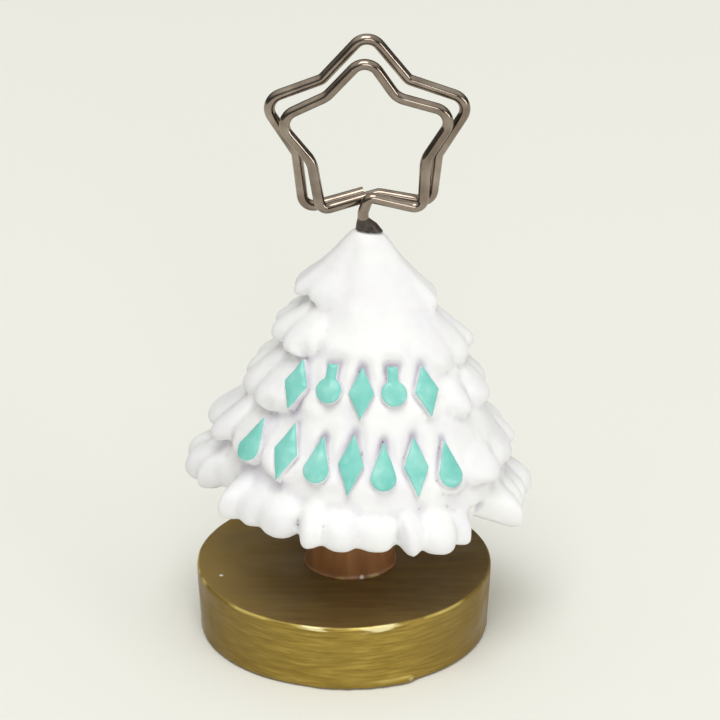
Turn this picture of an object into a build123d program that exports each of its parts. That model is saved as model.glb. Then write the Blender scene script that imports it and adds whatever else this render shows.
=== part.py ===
# Photo clip stand: a snow-laden fir on a round foot, topped by a sprung double star of wire for a photograph.
# Millimetres, +Z up, origin at the middle of the face that the stand rests on, front towards -Y.
import os
from math import asin, cos, pi, radians, sin, sqrt
from typing import NamedTuple

from build123d import *

# Foot, cast with a little draft, and its felt pad
base_radius = 23.5
base_height = 10.9
base_edge = 0.6
base_draft = 0.5
pad_inset = 3.0
pad_thickness = 1.0
pad_proud = 0.2

# Trunk, a turned peg that is glued into the foot and into the tree
trunk_offset = 1.0
trunk_radius = 7.2
trunk_flare = 0.25
trunk_flare_height = 0.7
tenon_shoulder = 2.2
tenon_length = 5.0
trunk_socket_depth = 8.0
glue_gap = 0.08

# Tree, a casting that leans a little to the right
tree_lean = 2.85
tree_height = 56.9
tree_reach = 28.0
back_depth_share = 0.84
crown_radius = 2.4
lip_thickness = 1.5
lip_roll = 0.9
undercut_reach = 4.0
undercut_rise = 3.6
tier_overlap = 1.6
shoulder_height_share = 0.42
shoulder_reach_share = 0.52
shoulder_relief_share = 0.5
hollow_facets = 24

# Core that fills the front, where the tiers run together and the ornaments stand
core_front_share = 1.05
core_inset = 0.6
core_top_drop = 1.2
core_foot_spread = 1.0

# Lobes along a tier's lip: notches between lobes, and deeper clefts between boughs
lobe_facets = 4
lobe_notch = 1.4
notch_rise = 0.6
bough_cleft = 3.6
cleft_rise = 2.0
lobe_arch_power = 0.6
valley_wander_share = 0.2
valley_wander_phase = 2.3
crest_swell_share = 0.04
crest_swell_phase = 1.9


class Tier(NamedTuple):
    rim_share: float  # height of the lip above the foot, of the tree's height
    reach_share: float  # sideways reach from the tree's axis, of the tree's reach
    front_share: float  # front reach, of the sideways one
    relief_share: float  # depth of its notches and clefts
    shift: float  # to the right of the tree's axis
    tilt: float  # degrees that the lip falls to the right
    boughs: int
    lobes: int  # in each bough
    turn: float  # direction of one cleft, in degrees from the front

    @property
    def rim(self):
        return self.rim_share * tree_height

    @property
    def reach(self):
        return self.reach_share * tree_reach

    @property
    def front(self):
        return self.front_share * self.reach


tiers = [
    Tier(0.800, 0.414, 0.57, 0.6, shift=0.0, tilt=5.6, boughs=5, lobes=2, turn=18),
    Tier(0.665, 0.580, 0.70, 0.8, shift=1.4, tilt=6.2, boughs=6, lobes=2, turn=-32),
    Tier(0.531, 0.712, 0.74, 1.0, shift=1.0, tilt=2.0, boughs=7, lobes=2, turn=12),
    Tier(0.368, 0.872, 0.80, 1.0, shift=1.1, tilt=5.2, boughs=8, lobes=2, turn=-22),
    Tier(0.220, 1.0, 0.84, 1.0, shift=0.0, tilt=5.6, boughs=8, lobes=3, turn=-33),
]

# Raised ornaments, in two rows across the front
ornament_thickness = 2.6
ornament_width = 4.1
ornament_gap = 0.95
ornament_slope = 34.0
upper_row_rise = 5.2
lower_row_rise = 4.4
ornament_inset = 1.7
upper_ornament_height = 8.4
lower_ornament_height = 9.8
upper_row_shift = -1.0
lower_row_shift = -2.2
bauble_cap_share = 0.42
drop_seat_share = 0.3

# Wire clip
wire_diameter = 1.5
wire_facets = 10
photo_gap = 0.7
shank_depth = 18.0
stem_offset = -0.8
stem_rise = 3.0
stem_bend = 1.3
star_shift = 0.6
star_height = 14.9
star_reach = 17.1
elbow_shift = 0.24
elbow_drop = 9.36
elbow_bend = 1.0
crossing_drop = 10.2
hump_reach = 1.7
tail_reach = 0.75
tail_rise = 0.34
tail_clearance = 0.3


class Corner(NamedTuple):
    share: float  # distance from the star's middle, of the star's reach
    turn: float  # degrees to the right of straight up
    bend: float  # radius of the bend


# Bending tables, in the order in which the wire runs: lower right foot, over the top, lower left foot
front_star = [
    Corner(0.83, 144, bend=1.2),
    Corner(0.55, 110, bend=2.6),
    Corner(0.84, 72, bend=2.4),
    Corner(0.48, 30, bend=2.6),
    Corner(0.81, 0, bend=2.4),
    Corner(0.55, -40, bend=2.6),
    Corner(0.84, -76, bend=2.4),
    Corner(0.52, -112, bend=2.6),
    Corner(0.78, -150, bend=1.2),
]
back_star = [
    Corner(0.88, 138, bend=1.8),
    Corner(0.67, 106, bend=1.1),
    Corner(1.0, 71, bend=2.4),
    Corner(0.64, 33, bend=1.1),
    Corner(1.0, 0, bend=2.4),
    Corner(0.67, -37, bend=1.1),
    Corner(1.0, -71, bend=2.4),
    Corner(0.66, -105, bend=1.1),
    Corner(0.92, -141, bend=1.8),
]

# Bead of glue round the stem
collar_height = 2.4
collar_inset = 0.15
collar_lip = 0.4
collar_bulge = 0.5
collar_bulge_share = 0.35

os.makedirs("parts", exist_ok=True)

base_top = pad_proud + base_height
pad_radius = base_radius - pad_inset
tenon_radius = trunk_radius - tenon_shoulder
lean = radians(tree_lean)
trunk_plane = Plane(origin=(trunk_offset, 0, base_top))
underside = tiers[-1].rim + undercut_rise
trunk_top = underside + trunk_socket_depth


# Level of the tree at a height above the foot, tilted as the tier's lip is
def level(tier, height):
    tilt = radians(tier.tilt)
    return Plane(
        origin=(trunk_offset + tier.shift + height * sin(lean), 0, base_top + height * cos(lean)),
        x_dir=(cos(tilt), 0, -sin(tilt)),
        z_dir=(sin(tilt), 0, cos(tilt)),
    )


# Point of a tier at an angle from the front, with its own front reach
def tier_point(tier, height, reach, angle):
    depth = tier.front_share if cos(angle) > 0 else back_depth_share
    return level(tier, height).from_local_coords(Vector(reach * sin(angle), -depth * reach * cos(angle), 0))


# Foot: a cast disc with a socket for the trunk's tenon and a shallow recess for the pad
with BuildPart() as base_disc:
    with BuildSketch(Plane.XZ):
        with BuildLine():
            Polyline(
                (0, pad_thickness),
                (pad_radius + glue_gap, pad_thickness),
                (pad_radius + glue_gap, pad_proud),
                (base_radius - base_draft, pad_proud),
                (base_radius, base_top - base_edge),
                (base_radius - base_edge, base_top),
                (0, base_top),
                close=True,
            )
        make_face()
    revolve(axis=Axis.Z)
    with BuildSketch(trunk_plane):
        Circle(tenon_radius + glue_gap)
    extrude(amount=-tenon_length - glue_gap, mode=Mode.SUBTRACT)
base_disc.part.label = "base_disc"

with BuildPart() as felt_pad:
    with BuildSketch():
        Circle(pad_radius)
    extrude(amount=pad_thickness)
felt_pad.part.label = "felt_pad"

# Trunk: flared where it stands on the foot
with BuildPart() as trunk:
    with BuildSketch(Plane.XZ.shift_origin(trunk_plane.origin)):
        with BuildLine():
            Polyline(
                (0, -tenon_length),
                (tenon_radius, -tenon_length),
                (tenon_radius, 0),
                (trunk_radius + trunk_flare, 0),
                (trunk_radius, trunk_flare_height),
                (trunk_radius, trunk_top),
                (0, trunk_top),
                close=True,
            )
        make_face()
    revolve(axis=Axis(trunk_plane.origin, (0, 0, 1)))
trunk.part.label = "trunk"


# One ring of a tier: an arched outline for every lobe, drawn in and up at the notches and clefts
def lobed_ring(tier, height, reach, relief):
    count = tier.boughs * tier.lobes
    pitch = 360 / count
    depth = relief * tier.relief_share

    def valley_angle(k):
        wander = valley_wander_share * sin(valley_wander_phase * (k % count) + tier.turn)
        return tier.turn + pitch * (k + wander)

    def valley(k):
        if k % tier.lobes == 0:
            return Vector(reach - depth * bough_cleft, depth * cleft_rise)
        return Vector(reach - depth * lobe_notch, depth * notch_rise)

    def lobe_point(k, share):
        angle = radians(valley_angle(k) * (1 - share) + valley_angle(k + 1) * share)
        floor = valley(k) * (1 - share) + valley(k + 1) * share
        crest = Vector(reach * (1 + crest_swell_share * relief * sin(crest_swell_phase * k + tier.turn)), 0)
        spot = floor + (crest - floor) * sin(pi * share) ** lobe_arch_power
        return tier_point(tier, height + spot.Y, spot.X, angle)

    return [lobe_point(k, j / lobe_facets) for k in range(count) for j in range(lobe_facets)]


# Plain oval ring, for the hollow under a tier
def oval_ring(tier, height, reach):
    return [tier_point(tier, height, reach, 2 * pi * k / hollow_facets) for k in range(hollow_facets)]


# Ring of the core, which reaches as far forward as it is asked to
def core_ring(tier, height, front_reach):
    return oval_ring(tier._replace(front_share=core_front_share), height, front_reach / core_front_share)


# Solid through rings of as many points each, with flat facets between them and a fan over the last ring
def faceted_solid(rings):
    facets = [Face(Wire.make_polygon(rings[0]))]
    for low, high in zip(rings, rings[1:]):
        for k in range(len(low)):
            facets.append(Face(Wire.make_polygon([low[k - 1], low[k], high[k]])))
            facets.append(Face(Wire.make_polygon([low[k - 1], high[k], high[k - 1]])))
    last = rings[-1]
    middle = sum(last, Vector()) / len(last)
    for k in range(len(last)):
        facets.append(Face(Wire.make_polygon([last[k - 1], last[k], middle])))
    return Solid(Shell(facets))


# Clip wire, all of it worked out from the stem that stands in the crown
crown = level(tiers[0], tree_height)
wire_radius = wire_diameter / 2
wire_pitch = wire_diameter + photo_gap
stem_x = crown.origin.X + stem_offset
star_x = stem_x + star_shift
star_z = crown.origin.Z + star_height
shank_foot = crown.origin.Z - shank_depth


# Raised ornaments: a plane on the tree's front for each, x to the right, z out of the tree
def seat(tier, across, height, reach):
    angle = asin(across / reach)
    rise = radians(ornament_slope)
    flat = Vector(tier.front_share * sin(angle), -cos(angle), 0).normalized()
    local = Plane(
        origin=(across, -tier.front_share * reach * cos(angle), 0),
        x_dir=(-flat.Y, flat.X, 0),
        z_dir=(flat.X * cos(rise), flat.Y * cos(rise), sin(rise)),
    )
    return Plane(level(tier, height).location * local.location)


def bauble(width, height):
    Circle(width / 2)
    with Locations((0, width / 2)):
        Rectangle(bauble_cap_share * width, height - width)


def lozenge(width, height):
    Polygon((0, height / 2), (width / 2, 0), (0, -height / 2), (-width / 2, 0), align=None)


def drop(width, height):
    tip = height - width
    half = asin(width / 2 / tip)
    run = sqrt(tip**2 - width**2 / 4)
    side, fall = run * sin(half), run * cos(half)
    with Locations((0, -drop_seat_share * tip)):
        Circle(width / 2)
        Polygon((0, tip), (-side, tip - fall), (side, tip - fall), align=None)


class Row(NamedTuple):
    name: str
    tier: Tier
    tallness: float
    rise: float  # of the row's middle above the tier's lip
    shift: float  # of the row's middle from the tree's axis
    motifs: list

    def seats(self):
        first = self.shift - (len(self.motifs) - 1) / 2 * ornament_pitch
        height = self.tier.rim + self.rise
        reach = self.tier.reach - ornament_inset
        places = [seat(self.tier, first + k * ornament_pitch, height, reach) for k in range(len(self.motifs))]
        return list(zip(self.motifs, places))


ornament_pitch = ornament_width + ornament_gap
upper_motifs = [lozenge, bauble, lozenge, bauble, lozenge]
lower_motifs = [drop, lozenge, drop, lozenge, drop, lozenge, drop]
rows = [
    Row("ornaments_upper", tiers[2], upper_ornament_height, upper_row_rise, upper_row_shift, upper_motifs),
    Row("ornaments_lower", tiers[3], lower_ornament_height, lower_row_rise, lower_row_shift, lower_motifs),
]

ornament_rows = []
for row in rows:
    with BuildPart() as ornaments:
        for motif, place in row.seats():
            with BuildSketch(place):
                motif(ornament_width, row.tallness)
            extrude(amount=-ornament_thickness)
    ornaments.part.label = row.name
    ornament_rows.append(ornaments)

with BuildPart() as ornament_pockets:
    for row in rows:
        for motif, place in row.seats():
            with BuildSketch(place.offset(-ornament_thickness)):
                motif(ornament_width + 2 * glue_gap, row.tallness + 2 * glue_gap)
            extrude(amount=3 * ornament_thickness)


# Tree: tiers from the top down, each a lobed skirt whose underside is hollowed before the next one fills it
with BuildPart() as tree:
    top_height = tree_height
    top_reach = crown_radius
    for tier in tiers:
        lip_height = tier.rim + lip_thickness
        lip_reach = tier.reach - lip_roll
        shoulder_height = lip_height + shoulder_height_share * (top_height - lip_height)
        shoulder_reach = top_reach + shoulder_reach_share * (tier.reach - top_reach)
        add(
            faceted_solid(
                [
                    lobed_ring(tier, top_height, top_reach, 0),
                    lobed_ring(tier, shoulder_height, shoulder_reach, shoulder_relief_share),
                    lobed_ring(tier, lip_height, tier.reach, 1),
                    lobed_ring(tier, tier.rim, lip_reach, 1),
                ]
            )
        )
        ceiling = tier.rim + undercut_rise
        ceiling_reach = lip_reach - undercut_reach
        skew = lip_thickness * undercut_reach / undercut_rise
        mouth = oval_ring(tier, tier.rim - lip_thickness, lip_reach + skew)
        add(faceted_solid([mouth, oval_ring(tier, ceiling, ceiling_reach)]), mode=Mode.SUBTRACT)
        top_height = ceiling + tier_overlap
        top_reach = ceiling_reach - tier_overlap
    core_rings = [core_ring(tiers[0], tree_height - core_top_drop, crown_radius - core_inset)]
    for tier in tiers[:-1]:
        core_rings.append(core_ring(tier, tier.rim + lip_thickness, tier.front - core_inset))
    core_foot = tiers[-2].front - core_inset + core_foot_spread
    core_rings.append(core_ring(tiers[-1], underside + tier_overlap, core_foot))
    add(faceted_solid(core_rings))
    with BuildSketch(trunk_plane):
        Circle(trunk_radius + glue_gap)
    extrude(amount=trunk_top, mode=Mode.SUBTRACT)
    with BuildSketch(Plane.XY.offset(shank_foot)):
        with Locations((stem_x, 0)):
            Circle(wire_radius + glue_gap)
    extrude(amount=shank_depth + crown_radius, mode=Mode.SUBTRACT)
    add(ornament_pockets.part, mode=Mode.SUBTRACT)
tree.part.label = "tree"


def star_point(corner, depth):
    angle = radians(corner.turn)
    reach = corner.share * star_reach
    return Vector(star_x + reach * sin(angle), depth, star_z + reach * cos(angle))


# Both loops are one wire on the real clip, which steps back behind the stem and twists there as they spread
front_corners = [star_point(corner, 0) for corner in front_star]
back_corners = [star_point(corner, wire_pitch) for corner in back_star]
front_bends = [corner.bend for corner in front_star]
back_bends = [corner.bend for corner in back_star]
crossing = Vector(star_x + elbow_shift, wire_pitch, star_z - crossing_drop)
crossing_way = (crossing - front_corners[-1]).normalized()
hump = crossing + crossing_way * hump_reach
tail_end = crossing + Vector(-tail_reach, wire_diameter + tail_clearance, tail_rise)

with BuildPart() as clip_front:
    with BuildLine() as front_path:
        FilletPolyline(
            (stem_x, 0, shank_foot),
            (stem_x, 0, crown.origin.Z + stem_rise),
            (star_x + elbow_shift, 0, star_z - elbow_drop),
            *front_corners,
            crossing,
            radius=[stem_bend, elbow_bend] + front_bends,
        )
    with BuildSketch(Plane(origin=front_path.line @ 0, z_dir=front_path.line % 0)):
        RegularPolygon(wire_radius, wire_facets)
    sweep(path=front_path.line)
clip_front.part.label = "clip_front"

with BuildPart() as clip_back:
    with BuildLine() as back_path:
        FilletPolyline(crossing, hump, *back_corners, tail_end, radius=[stem_bend] + back_bends)
    with BuildSketch(Plane(origin=back_path.line @ 0, z_dir=back_path.line % 0)):
        RegularPolygon(wire_radius, wire_facets)
    sweep(path=back_path.line)
clip_back.part.label = "clip_back"


def stem_ring(height, reach):
    angles = [2 * pi * k / hollow_facets for k in range(hollow_facets)]
    return [Vector(stem_x + reach * sin(a), -reach * cos(a), height) for a in angles]


# Bead of set glue that runs from the stem over the whole crown, so it is lopsided as the stem is
with BuildPart() as glue_collar:
    collar_foot = oval_ring(tiers[0], tree_height, crown_radius - collar_inset)
    collar_top = stem_ring(crown.origin.Z + collar_height, wire_radius + collar_lip)
    swell = Vector(0, 0, collar_bulge)
    collar_sides = zip(collar_foot, collar_top)
    collar_middle = [low + (high - low) * collar_bulge_share + swell for low, high in collar_sides]
    add(faceted_solid([collar_foot, collar_middle, collar_top]))
    with BuildSketch(Plane(origin=(stem_x, 0, crown.origin.Z - collar_height))):
        Circle(wire_radius + glue_gap)
    extrude(amount=3 * collar_height, mode=Mode.SUBTRACT)
glue_collar.part.label = "glue_collar"

print("hinge at", crossing, "axis", -crossing_way)
for name in (base_disc, felt_pad, trunk, tree, glue_collar, clip_front, clip_back, *ornament_rows):
    export_step(name.part, f"parts/{name.part.label}.step")
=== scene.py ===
import math

import bmesh
import bpy
import numpy as np
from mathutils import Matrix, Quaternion, Vector, noise


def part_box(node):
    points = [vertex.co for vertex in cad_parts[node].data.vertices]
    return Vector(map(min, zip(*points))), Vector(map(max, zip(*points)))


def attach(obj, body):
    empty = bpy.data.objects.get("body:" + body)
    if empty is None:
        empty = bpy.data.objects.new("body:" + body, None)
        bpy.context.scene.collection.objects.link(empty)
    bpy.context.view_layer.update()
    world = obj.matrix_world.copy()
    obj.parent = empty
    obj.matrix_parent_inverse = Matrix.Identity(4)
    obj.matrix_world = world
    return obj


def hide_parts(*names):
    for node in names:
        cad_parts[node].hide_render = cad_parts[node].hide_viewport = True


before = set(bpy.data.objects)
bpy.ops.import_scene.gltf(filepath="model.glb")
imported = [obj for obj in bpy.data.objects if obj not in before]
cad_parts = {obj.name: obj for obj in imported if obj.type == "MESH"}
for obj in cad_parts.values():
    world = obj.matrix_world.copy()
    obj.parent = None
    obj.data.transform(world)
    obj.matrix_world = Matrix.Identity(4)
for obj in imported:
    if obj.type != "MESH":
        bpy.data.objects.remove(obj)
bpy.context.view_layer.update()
mm = 0.001
print("frame loaded:", ", ".join(sorted(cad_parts)))


def colour(hexValue):  # sRGB hex to the linear values that the sockets take
    parts = [int(hexValue[i:i + 2], 16) / 255 for i in (1, 3, 5)]
    return [c / 12.92 if c <= 0.04045 else ((c + 0.055) / 1.055) ** 2.4 for c in parts] + [1.0]


def perMm(size):  # noise scale for a pattern of that size in millimetres, on coordinates in metres
    return 1 / (size * mm)


def plug(tree, node, links):  # sets or links inputs; a node as a value stands for its first output in use
    for name, value in links.items():
        if isinstance(value, bpy.types.Node):
            value = next(socket for socket in value.outputs if socket.enabled)
        if isinstance(value, bpy.types.NodeSocket):
            tree.links.new(value, node.inputs[name])
        else:
            node.inputs[name].default_value = value


def addNode(tree, kind, links=None, stops=None, **settings):  # a node with its settings, links and ramp stops
    node = tree.nodes.new(kind)
    for name, value in settings.items():
        setattr(node, name, value)
    plug(tree, node, links or {})
    for i, (place, value) in enumerate(stops or []):
        element = node.color_ramp.elements[i] if i < 2 else node.color_ramp.elements.new(place)
        element.position = place
        element.color = colour(value) if isinstance(value, str) else [value, value, value, 1.0]
    return node


def newMaterial(name):  # a material, its node tree and the place on the piece
    material = bpy.data.materials.new(name)
    material.use_nodes = True
    tree = material.node_tree
    return material, tree, addNode(tree, "ShaderNodeTexCoord").outputs["Object"]


def finishMaterial(material, s, height, links):  # relief of the skin from a height, then the shader's inputs
    tree = material.node_tree
    relief = addNode(tree, "ShaderNodeBump", {
        "Height": height, "Strength": s["bump"], "Distance": s["bumpHeight"] * mm})
    plug(tree, tree.nodes["Principled BSDF"], {"Normal": relief, **links})
    return material


# White satin acrylic brushed over cast resin: soft and even, with painted lilac-grey shade in the hollows and
# round the ornaments
snowPaintSettings = {
    # the lilac-grey and the darker grey below are painted shade in the hollows and round the ornaments
    "body": [(0.3, "#EFEEF2"), (0.7, "#F8F8F7")], "hollowShade": "#B5AEBF", "deep": "#85798A", "bare": "#75604F",
    "noises": [(7.0, 3.0), (0.9, 4.0), (1.3, 2.0)],  # size in millimetres and detail of mottle, grain, specks
    "nearShare": 0.75, "shade": [(0.12, 0.0), (0.8, 0.85)], "deepFrom": 0.75, "deepTo": 1.5, "deepMost": 0.8,
    "speckCut": [(0.66, 0.0), (0.7, 1.0)], "roughness": (0.4, 0.56), "bump": 0.3, "bumpHeight": 0.06,
}


def makeSnowPaint():
    s = snowPaintSettings
    material, tree, spots = newMaterial("whiteAcrylicOnResin")
    hollow, near = [addNode(tree, "ShaderNodeAttribute", attribute_name=name).outputs["Fac"]
                    for name in ("hollow", "near")]
    mottle, grain, specks = [addNode(tree, "ShaderNodeTexNoise", {
        "Vector": spots, "Scale": perMm(size), "Detail": detail}) for size, detail in s["noises"]]
    # painted shade: lilac-grey in the hollows and, in patches, round the ornaments, darker in the deepest
    # hollows
    panel = addNode(tree, "ShaderNodeMath", {0: near, 1: mottle}, operation="MULTIPLY")
    shadow = addNode(tree, "ShaderNodeMath", {
        0: panel, 1: s["nearShare"], 2: hollow}, operation="MULTIPLY_ADD")
    shade = addNode(tree, "ShaderNodeValToRGB", {0: shadow}, stops=s["shade"])
    deep = addNode(tree, "ShaderNodeMapRange", {
        0: hollow, 1: s["deepFrom"], 2: s["deepTo"], 4: s["deepMost"]})
    # pinholes that the brush left bare there
    bare = addNode(tree, "ShaderNodeValToRGB", {0: specks}, stops=s["speckCut"])
    pit = addNode(tree, "ShaderNodeMath", {0: bare, 1: shade}, operation="MULTIPLY")
    paint = addNode(tree, "ShaderNodeValToRGB", {0: mottle}, stops=s["body"])
    for share, tone in ((shade, s["hollowShade"]), (deep, s["deep"]), (pit, s["bare"])):
        paint = addNode(tree, "ShaderNodeMix", {0: share, 6: paint, 7: colour(tone)}, data_type="RGBA")
    gloss = addNode(tree, "ShaderNodeMapRange", {0: mottle, 3: s["roughness"][0], 4: s["roughness"][1]})
    return finishMaterial(material, s, grain, {"Base Color": paint, "Roughness": gloss})


# Gold bronze-powder paint, brushed on: streaks follow the brush; the top is darker brown and the wall darker
# towards its ends as painted shade, the top lighter towards the left as painted light; rubbed bright along
# the edge, partly wear and partly painted highlight
goldSettings = {
    # brush strokes on the wall, then on the top: degrees turned, size in millimetres, detail, distortion
    "strokes": [(0, (4.5, 4.5, 0.45), 5.0, 0.3), (8, (11, 1.1, 6), 3.0, 0.8)], "patchSize": 9.0,
    # the wall's darker tone towards its ends and the top's darker browns are painted shade, the top's lighter
    # tone towards the left painted light
    "side": [(0.3, "#8A722E"), (0.5, "#9D8438"), (0.7, "#B39A48")], "sideEndShade": "#7B6228",
    "top": [(0.3, "#6D5730"), (0.5, "#745D34"), (0.75, "#7E693A")], "topLitLeft": "#92793F",
    # the worn edge and the rubbed tones are partly wear and partly a painted highlight, glints of light on
    # the rim and the flash
    "wornAndSheen": "#DDC670", "rubbedAndGlint": "#F6E8B0", "dust": "#E9E8E4",
    "endShadeFrom": 8, "endShadeTo": 21, "litLeftFrom": -7, "litLeftTo": -20,  # millimetres from the middle
    "upward": [(0.75, 0.0), (0.97, 1.0)], "slant": [(0.15, 0.0), (0.45, 1.0), (0.8, 1.0), (0.97, 0.0)],
    "speck": (-19.4, -5.8, 11.0), "speckSize": 0.32,
    # where the paint is rubbed bright, with a painted glint of light on it: place, half length and half
    # height in millimetres
    "rubsAndGlints": [
        ((-4.5, -23.0, 10.75), 3.0, 0.95), ((5.8, -22.7, 10.6), 4.0, 1.15), ((10.9, -21.2, 0.6), 1.5, 0.5)],
    "ragged": -2.4, "metallic": 0.35, "specular": 0.25, "bump": 0.14, "bumpHeight": 0.08,
}


def makeGoldPaint():
    s = goldSettings
    material, tree, spots = newMaterial("brushedGoldPaint")
    across = addNode(tree, "ShaderNodeSeparateXYZ", {0: spots}).outputs["X"]
    normal = addNode(tree, "ShaderNodeNewGeometry").outputs["Normal"]
    facing = addNode(tree, "ShaderNodeSeparateXYZ", {0: normal}).outputs["Z"]
    streaks = []
    for turned, stroke, detail, distortion in s["strokes"]:
        brush = addNode(tree, "ShaderNodeMapping", {
            "Vector": spots, "Rotation": (0, 0, math.radians(turned)),
            "Scale": [perMm(size) for size in stroke]})
        streaks.append(addNode(tree, "ShaderNodeTexNoise", {
            "Vector": brush, "Scale": 1.0, "Detail": detail, "Distortion": distortion}))
    sideStreak, topStreak = streaks
    patch = addNode(tree, "ShaderNodeTexNoise", {
        "Vector": spots, "Scale": perMm(s["patchSize"]), "Detail": 2.0})
    # painted shade: the wall darker towards both ends and the top darker brown than the wall; painted light:
    # the top lighter towards the left
    sideGold = addNode(tree, "ShaderNodeValToRGB", {0: sideStreak}, stops=s["side"])
    aside = addNode(tree, "ShaderNodeMath", {0: across}, operation="ABSOLUTE")
    shadedEnds = addNode(tree, "ShaderNodeMapRange", {
        0: aside, 1: s["endShadeFrom"] * mm, 2: s["endShadeTo"] * mm, 4: 0.85})
    sideGold = addNode(tree, "ShaderNodeMix", {
        0: shadedEnds, 6: sideGold, 7: colour(s["sideEndShade"])}, data_type="RGBA")
    shadedTopGold = addNode(tree, "ShaderNodeValToRGB", {0: topStreak}, stops=s["top"])
    litLeftward = addNode(tree, "ShaderNodeMapRange", {
        0: across, 1: s["litLeftFrom"] * mm, 2: s["litLeftTo"] * mm, 4: 0.9})
    shadedTopGold = addNode(tree, "ShaderNodeMix", {
        0: litLeftward, 6: shadedTopGold, 7: colour(s["topLitLeft"])}, data_type="RGBA")
    upward = addNode(tree, "ShaderNodeValToRGB", {0: facing}, stops=s["upward"])
    paint = addNode(tree, "ShaderNodeMix", {0: upward, 6: sideGold, 7: shadedTopGold}, data_type="RGBA")
    # wear with a painted highlight along the top edge in patches, then the rubs with their painted glints,
    # which stay off the top, and one speck of dust
    slant = addNode(tree, "ShaderNodeValToRGB", {0: facing}, stops=s["slant"])
    rubbedAndGlint = addNode(tree, "ShaderNodeMapRange", {0: patch, 1: 0.5, 2: 0.6, 4: 0.8})
    edge = addNode(tree, "ShaderNodeMath", {0: slant, 1: rubbedAndGlint}, operation="MULTIPLY")
    wearAndGlints = [(edge, s["wornAndSheen"])]
    wall = addNode(tree, "ShaderNodeMath", {0: 1.0, 1: upward}, operation="SUBTRACT")
    for middle, long, tall in s["rubsAndGlints"]:
        offset = addNode(tree, "ShaderNodeVectorMath", {
            0: spots, 1: Vector(middle) * mm}, operation="SUBTRACT")
        shares = addNode(tree, "ShaderNodeVectorMath", {
            0: offset, 1: (perMm(long), perMm(long), perMm(tall))}, operation="MULTIPLY")
        away = addNode(tree, "ShaderNodeVectorMath", {0: shares}, operation="LENGTH")
        ragged = addNode(tree, "ShaderNodeMath", {
            0: sideStreak, 1: s["ragged"], 2: away}, operation="MULTIPLY_ADD")
        rubGlint = addNode(tree, "ShaderNodeMapRange", {0: ragged, 1: -0.5, 2: -0.85, 4: 0.95})
        wearAndGlints.append((addNode(tree, "ShaderNodeMath", {0: rubGlint, 1: wall}, operation="MULTIPLY"), s["rubbedAndGlint"]))
    away = addNode(tree, "ShaderNodeVectorMath", {
        0: spots, 1: Vector(s["speck"]) * mm}, operation="DISTANCE")
    speck = addNode(tree, "ShaderNodeMath", {0: away, 1: s["speckSize"] * mm}, operation="LESS_THAN")
    for share, tone in wearAndGlints + [(speck, s["dust"])]:
        paint = addNode(tree, "ShaderNodeMix", {0: share, 6: paint, 7: colour(tone)}, data_type="RGBA")
    dull = addNode(tree, "ShaderNodeMapRange", {0: patch, 1: 0.38, 2: 0.64, 3: 0.58, 4: 0.3})
    stroke = addNode(tree, "ShaderNodeMix", {0: upward, 2: sideStreak, 3: topStreak})
    return finishMaterial(material, s, stroke, {
        "Base Color": paint, "Roughness": dull, "Metallic": s["metallic"],
        "Specular IOR Level": s["specular"]})


# Brown acrylic under a thin varnish: warm and glossy, with gold wiped on from the foot's brush and one
# painted glint of light near the foot
trunkPaintSettings = {
    "brown": [(0.3, "#82552F"), (0.55, "#946339"), (0.78, "#A37344")],
    "gold": "#A88B45", "paintedGlint": "#F3E6DA",
    "stroke": (2.2, 2.2, 9), "smearSize": 2.4, "goldFrom": 11.1, "goldTo": 12.9,  # heights in millimetres
    # one pale spot near the foot is a painted highlight, a glint of light on the varnish
    "goldCut": [(0.72, 0.0), (0.8, 1.0)], "drop": (2.9, -7.2, 11.45), "dropEdge": 0.5, "dropMiddle": 0.2,
    "roughness": 0.42, "coat": 0.5, "coatRoughness": 0.2, "bump": 0.3, "bumpHeight": 0.1,
}


def makeTrunkPaint():
    s = trunkPaintSettings
    material, tree, spots = newMaterial("varnishedBrownPaint")
    height = addNode(tree, "ShaderNodeSeparateXYZ", {0: spots}).outputs["Z"]
    brush = addNode(tree, "ShaderNodeMapping", {
        "Vector": spots, "Scale": [perMm(size) for size in s["stroke"]]})
    streak = addNode(tree, "ShaderNodeTexNoise", {"Vector": brush, "Scale": 1.0, "Detail": 4.0})
    smear = addNode(tree, "ShaderNodeTexNoise", {
        "Vector": spots, "Scale": perMm(s["smearSize"]), "Detail": 3.0})
    low = addNode(tree, "ShaderNodeMapRange", {
        0: height, 1: s["goldFrom"] * mm, 2: s["goldTo"] * mm, 3: 0.2, 4: -0.3})
    wiped = addNode(tree, "ShaderNodeMath", {0: smear, 1: low}, operation="ADD")
    gold = addNode(tree, "ShaderNodeValToRGB", {0: wiped}, stops=s["goldCut"])
    # painted highlight: one glint of light on the varnish near the foot
    away = addNode(tree, "ShaderNodeVectorMath", {
        0: spots, 1: Vector(s["drop"]) * mm}, operation="DISTANCE")
    drop = addNode(tree, "ShaderNodeMapRange", {0: away, 1: s["dropEdge"] * mm, 2: s["dropMiddle"] * mm})
    paint = addNode(tree, "ShaderNodeValToRGB", {0: streak}, stops=s["brown"])
    for share, tone in ((gold, s["gold"]), (drop, s["paintedGlint"])):
        paint = addNode(tree, "ShaderNodeMix", {0: share, 6: paint, 7: colour(tone)}, data_type="RGBA")
    return finishMaterial(material, s, streak, {
        "Base Color": paint, "Roughness": s["roughness"], "Coat Weight": s["coat"],
        "Coat Roughness": s["coatRoughness"]})


# Turquoise acrylic dabbed on the raised faces over white: the brush misses the edges and leaves flecks
turquoiseSettings = {
    "turquoise": [(0.3, "#79CDC1"), (0.55, "#8AD6CA"), (0.75, "#9FE0D6")],
    "white": [(0.35, "#DAD7E0"), (0.6, "#F1F0F3")],
    "noises": [(1.1, 4.0), (3.2, 2.0)],  # size in millimetres and detail of flecks and pools
    "fleckShare": 0.5, "cover": [(0.42, 0.0), (0.52, 1.0)],
    "roughness": 0.24, "bump": 0.35, "bumpHeight": 0.08,
}


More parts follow.
